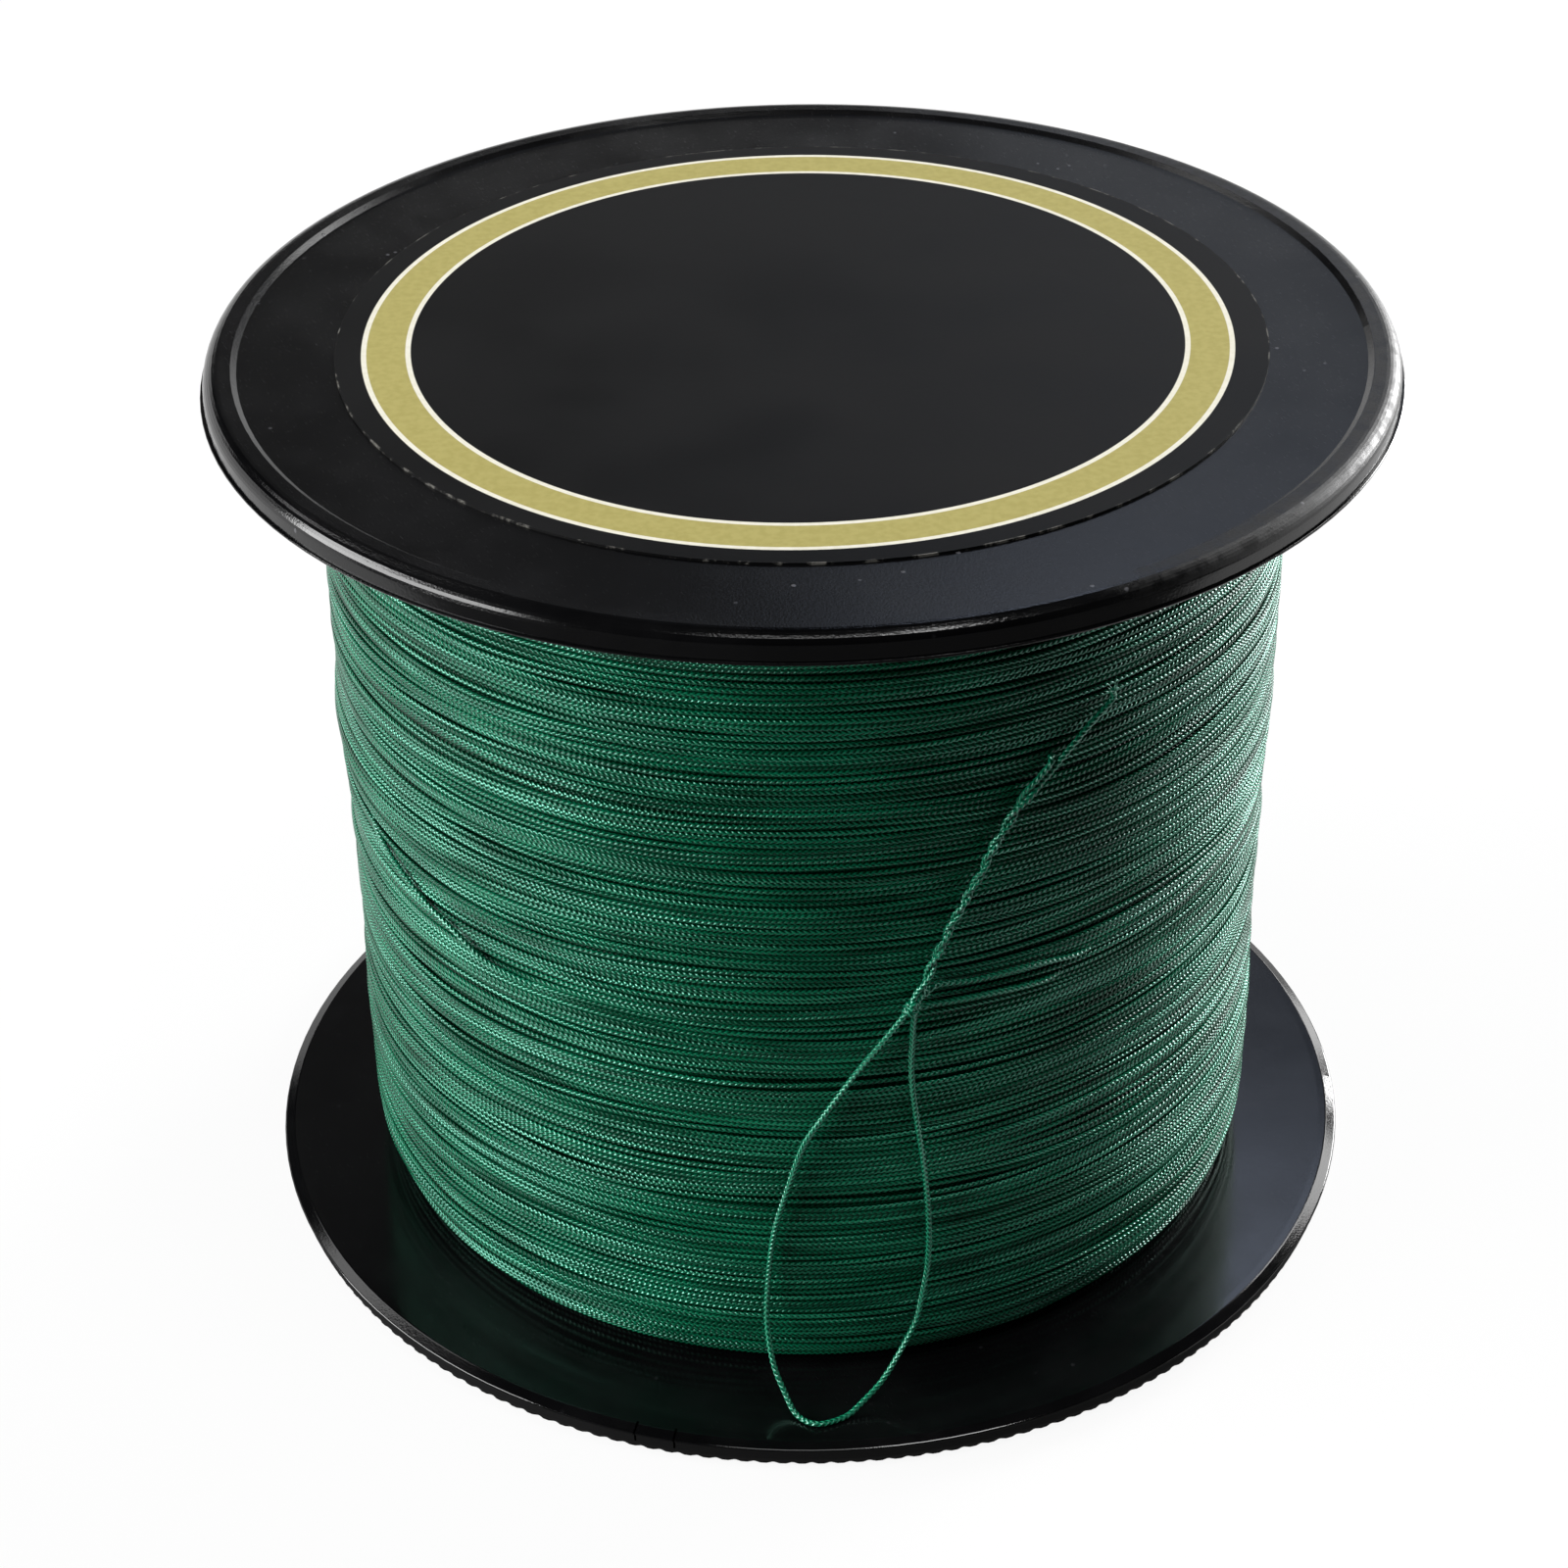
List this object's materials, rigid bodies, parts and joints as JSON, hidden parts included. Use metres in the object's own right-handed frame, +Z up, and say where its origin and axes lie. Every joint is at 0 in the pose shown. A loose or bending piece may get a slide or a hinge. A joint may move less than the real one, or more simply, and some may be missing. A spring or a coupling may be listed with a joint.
{
  "type": "fishing line spool",
  "caption": "Bulk spool of braided fishing line: two moulded flanges on a barrel and arbor tube, with a full winding and a looped free end.",
  "frame": {"origin": "centre of the lower rim's outer face, on the surface that the spool stands on", "axes": "+Z up along the arbor bore; -Y is the side where the free end of the line hangs"},
  "size_m": [0.105, 0.105, 0.086],
  "materials": {
    "flange_plastic": "satin black moulded plastic with rubbed edges",
    "core_plastic": "plain black moulded plastic",
    "tape": "matt adhesive tape",
    "braid": "tightly braided green fibre with a soft sheen",
    "label": "printed film, black with a dull gold ring and pale outlines"
  },
  "bodies": {
    "root": {"upper_flange": "flange_plastic", "lower_flange": "flange_plastic", "barrel": "core_plastic", "arbor_tube": "core_plastic", "start_tape": "tape", "line_core": "braid", "line_outer_layer": "braid", "line_end": "braid", "loop_knot": "braid", "top_label": "label"}
  },
  "joints": []
}
